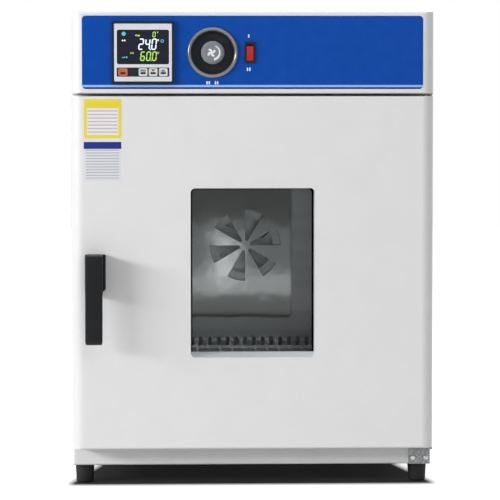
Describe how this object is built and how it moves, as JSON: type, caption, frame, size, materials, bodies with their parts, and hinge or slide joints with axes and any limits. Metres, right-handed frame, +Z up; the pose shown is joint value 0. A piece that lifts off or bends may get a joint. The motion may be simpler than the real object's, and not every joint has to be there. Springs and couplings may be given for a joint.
{
  "type": "forced-air drying oven",
  "caption": "Bench-top forced-air drying oven: folded steel cabinet, insulated swing door with a window, lever handle, header with controller, vent dial and rocker switch.",
  "frame": {"origin": "on the floor, under the middle of the whole oven's bounding box", "axes": "+Z up, +X to the viewer's right, the door faces -Y"},
  "size_m": [0.56, 0.6442, 0.737],
  "materials": {
    "case_paint": "smooth light grey powder coat",
    "film_blue": "printed polyester film, satin gloss",
    "liner_steel": "brushed stainless sheet",
    "rack_wire": "polished stainless wire",
    "galvanised": "dull galvanised steel",
    "screw_zinc": "bright zinc plate",
    "mineral_wool": "pale yellow mineral wool board",
    "heater_sheath": "heat-tinted stainless tube",
    "fan_aluminium": "pressed aluminium",
    "motor_grey": "dark grey enamel",
    "shaft_steel": "ground steel",
    "black_abs": "fine-textured black ABS",
    "face_grey": "satin light grey polycarbonate",
    "display_window": "smoked glossy window",
    "key_orange": "soft silicone key",
    "key_white": "soft silicone key",
    "ring_grey": "satin grey moulding",
    "knob_grey": "satin grey moulding",
    "rocker_red": "glossy red moulding",
    "window_glass": "toughened glass, clear with a cool tint",
    "silicone_red": "silicone gasket",
    "seal_black": "black silicone",
    "window_trim": "grey-blue painted frame",
    "handle_black": "black nylon with a fine texture",
    "bush_bronze": "sintered bronze",
    "foot_rubber": "black rubber"
  },
  "bodies": {
    "cabinet": {"side_panel_left": "case_paint", "side_panel_right": "case_paint", "top_panel": "case_paint", "rear_panel": "case_paint", "base_pan": "galvanised", "front_frame": "case_paint", "bay_floor": "galvanised", "header_cover": "case_paint", "control_overlay": "film_blue", "wool_boards": "mineral_wool", "chamber_wall_left": "liner_steel", "chamber_wall_right": "liner_steel", "chamber_roof": "liner_steel", "chamber_floor": "liner_steel", "chamber_rear_wall": "liner_steel", "air_duct_plate": "liner_steel", "heater_elements": "heater_sheath", "fan_motor": "motor_grey", "motor_bracket": "galvanised", "rear_motor_cover": "case_paint", "rack_posts": "rack_wire", "rack_rungs": "rack_wire", "temperature_probe": "shaft_steel", "controller_housing": "black_abs", "controller_faceplate": "face_grey", "controller_display": "display_window", "vent_ring": "ring_grey", "vent_dish": "black_abs", "vent_pipe": "liner_steel", "switch_frame": "black_abs", "power_relay": "black_abs", "terminal_strip": "black_abs", "hinge_bracket_top": "galvanised", "hinge_bracket_bottom": "galvanised", "case_screws": "screw_zinc", "door_catch": "black_abs", "cable_gland": "black_abs", "feet": "foot_rubber"},
    "door": {"door_skin": "case_paint", "door_liner": "liner_steel", "door_wool": "mineral_wool", "window_frame": "window_trim", "window_panes": "window_glass", "window_spacer": "seal_black", "door_gasket": "silicone_red", "door_handle": "handle_black", "hinge_bushes": "bush_bronze", "catch_striker": "galvanised"},
    "fan": {"fan_impeller": "fan_aluminium", "fan_shaft": "shaft_steel"},
    "vent": {"vent_knob": "knob_grey", "vent_spindle": "shaft_steel", "vent_flap": "liner_steel"},
    "rocker": {"switch_rocker": "rocker_red"},
    "power_key": {"key_power": "key_orange"},
    "set_key": {"key_set": "key_white"},
    "down_key": {"key_down": "key_white"},
    "up_key": {"key_up": "key_white"},
    "upper_shelf": {"shelf_upper": "rack_wire"},
    "lower_shelf": {"shelf_lower": "rack_wire"}
  },
  "joints": [
    {"name": "door_swing", "type": "hinge", "parent": "cabinet", "child": "door", "pos_m": [0.272, -0.2391, 0.3345], "axis": [0, 0, 1], "range_deg": [0, 110]},
    {"name": "fan_spin", "type": "hinge", "parent": "cabinet", "child": "fan", "pos_m": [0, 0.1619, 0.355], "axis": [0, 1, 0], "continuous": true},
    {"name": "vent_turn", "type": "hinge", "parent": "cabinet", "child": "vent", "pos_m": [-0.0618, -0.1081, 0.6744], "axis": [0, 1, 0], "range_deg": [0, 90]},
    {"name": "rocker_tilt", "type": "hinge", "parent": "cabinet", "child": "rocker", "pos_m": [-0.0044, -0.262, 0.6744], "axis": [-1, 0, 0], "range_deg": [0, 20]},
    {"name": "power_press", "type": "slide", "parent": "cabinet", "child": "power_key", "axis": [0, 1, 0], "range_m": [0, 0.0008], "stiffness_N_per_m": 400},
    {"name": "set_press", "type": "slide", "parent": "cabinet", "child": "set_key", "axis": [0, 1, 0], "range_m": [0, 0.0008], "stiffness_N_per_m": 400},
    {"name": "down_press", "type": "slide", "parent": "cabinet", "child": "down_key", "axis": [0, 1, 0], "range_m": [0, 0.0008], "stiffness_N_per_m": 400},
    {"name": "up_press", "type": "slide", "parent": "cabinet", "child": "up_key", "axis": [0, 1, 0], "range_m": [0, 0.0008], "stiffness_N_per_m": 400},
    {"name": "upper_shelf_slide", "type": "slide", "parent": "cabinet", "child": "upper_shelf", "axis": [0, -1, 0], "range_m": [0, 0.022]},
    {"name": "lower_shelf_slide", "type": "slide", "parent": "cabinet", "child": "lower_shelf", "axis": [0, -1, 0], "range_m": [0, 0.022]}
  ]
}
